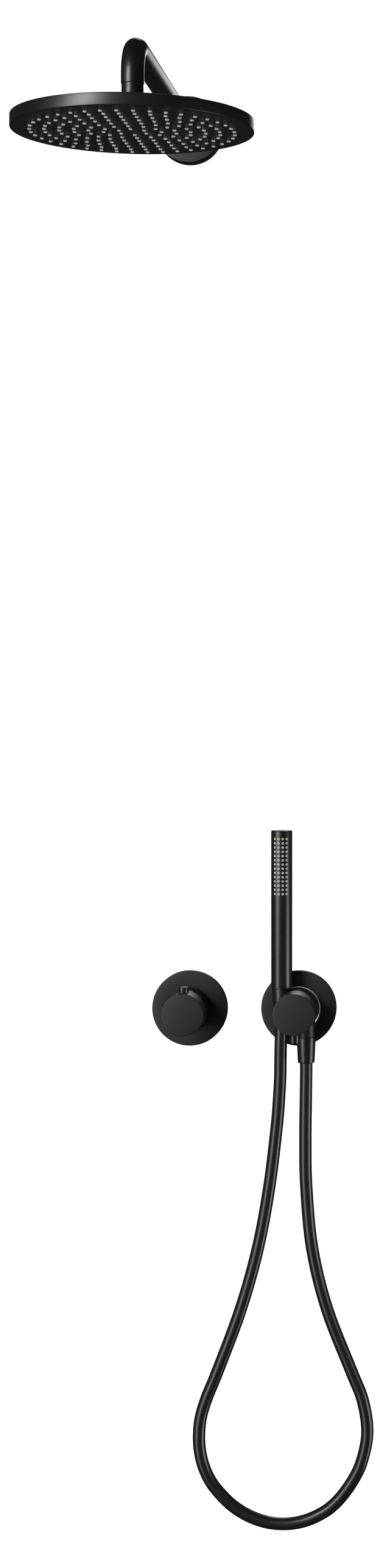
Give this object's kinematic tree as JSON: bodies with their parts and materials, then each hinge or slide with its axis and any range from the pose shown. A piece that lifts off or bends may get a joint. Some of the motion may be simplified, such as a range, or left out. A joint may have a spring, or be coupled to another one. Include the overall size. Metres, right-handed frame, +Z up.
{
  "type": "concealed rain shower set",
  "caption": "Black wall-mounted rain shower set: bent arm with a round rain head, mixer, and valve holding a stick hand shower on a looped hose.",
  "frame": {"origin": "on the wall plane at the mixer's axis", "axes": "+Y into the wall, +Z up, +X to the right seen from the room"},
  "size_m": [0.346, 0.605, 1.7097],
  "materials": {
    "black_lacquer": "satin black lacquer",
    "bright_ring": "polished",
    "brass": "machined",
    "steel": "plain",
    "dark_plastic": "moulded",
    "pale_plastic": "moulded",
    "rubber_black": "moulded",
    "hose_black": "smooth",
    "silicone_grey": "moulded silicone"
  },
  "bodies": {
    "wall_set": {"shower_arm": "black_lacquer", "arm_rosette": "black_lacquer", "arm_grip_ring": "rubber_black", "arm_wall_nipple": "brass", "arm_wall_washer": "rubber_black", "mixer_rosette": "black_lacquer", "mixer_wall_seal": "rubber_black", "mixer_sleeve": "black_lacquer", "mixer_housing": "brass", "mixer_cartridge": "pale_plastic", "mixer_cartridge_nut": "brass", "temperature_stop_ring": "dark_plastic", "valve_rosette": "black_lacquer", "valve_wall_seal": "rubber_black", "valve_trim_ring": "bright_ring", "valve_body": "black_lacquer", "holder_liner": "dark_plastic", "valve_cartridge": "pale_plastic", "valve_housing": "brass", "valve_stop_ring": "dark_plastic", "outlet_nipple": "brass", "check_valve": "pale_plastic", "outlet_hose_nut": "black_lacquer", "outlet_washer": "rubber_black", "outlet_hose_tail": "brass", "hose": "hose_black"},
    "ball_stud": {"head_ball_stud": "black_lacquer", "stud_o_ring": "rubber_black"},
    "rain_head": {"head_union_nut": "black_lacquer", "ball_seat_upper": "pale_plastic", "ball_seat_lower": "pale_plastic", "head_flow_regulator": "pale_plastic", "head_shell": "black_lacquer", "chamber_cover": "dark_plastic", "chamber_gasket": "rubber_black", "nozzle_mat": "silicone_grey", "spray_plate": "black_lacquer"},
    "mixer_control": {"mixer_knob": "black_lacquer", "mixer_pin": "black_lacquer", "mixer_grub_screw": "steel", "mixer_spindle": "brass"},
    "valve_control": {"valve_knob": "black_lacquer", "valve_pin": "black_lacquer", "valve_grub_screw": "steel", "valve_spindle": "brass"},
    "hose_end": {"handset_hose_tail": "brass", "handset_washer": "rubber_black"},
    "hand_shower": {"handset_hose_nut": "black_lacquer", "handset_body": "black_lacquer", "handset_cap": "black_lacquer", "handset_nozzle_insert": "silicone_grey", "handset_spigot": "brass", "handset_flow_limiter": "pale_plastic"}
  },
  "joints": [
    {"name": "head_swivel", "type": "hinge", "parent": "wall_set", "child": "ball_stud", "pos_m": [0, -0.45, 1], "axis": [0, 0, 1], "continuous": true},
    {"name": "head_tilt", "type": "hinge", "parent": "ball_stud", "child": "rain_head", "pos_m": [0, -0.45, 0.9837], "axis": [1, 0, 0], "range_deg": [-15, 15]},
    {"name": "mixer_turn", "type": "hinge", "parent": "wall_set", "child": "mixer_control", "pos_m": [0, 0, 0], "axis": [0, 1, 0], "range_deg": [-75, 160]},
    {"name": "valve_turn", "type": "hinge", "parent": "wall_set", "child": "valve_control", "pos_m": [0.1305, 0, 0], "axis": [0, 1, 0], "range_deg": [-90, 90]},
    {"name": "hand_shower_lift", "type": "slide", "parent": "wall_set", "child": "hose_end", "axis": [0, 0, 1], "range_m": [0, 0.06]},
    {"name": "hand_shower_turn", "type": "hinge", "parent": "hose_end", "child": "hand_shower", "pos_m": [0.1119, -0.025, 0], "axis": [0, 0, 1], "continuous": true}
  ]
}
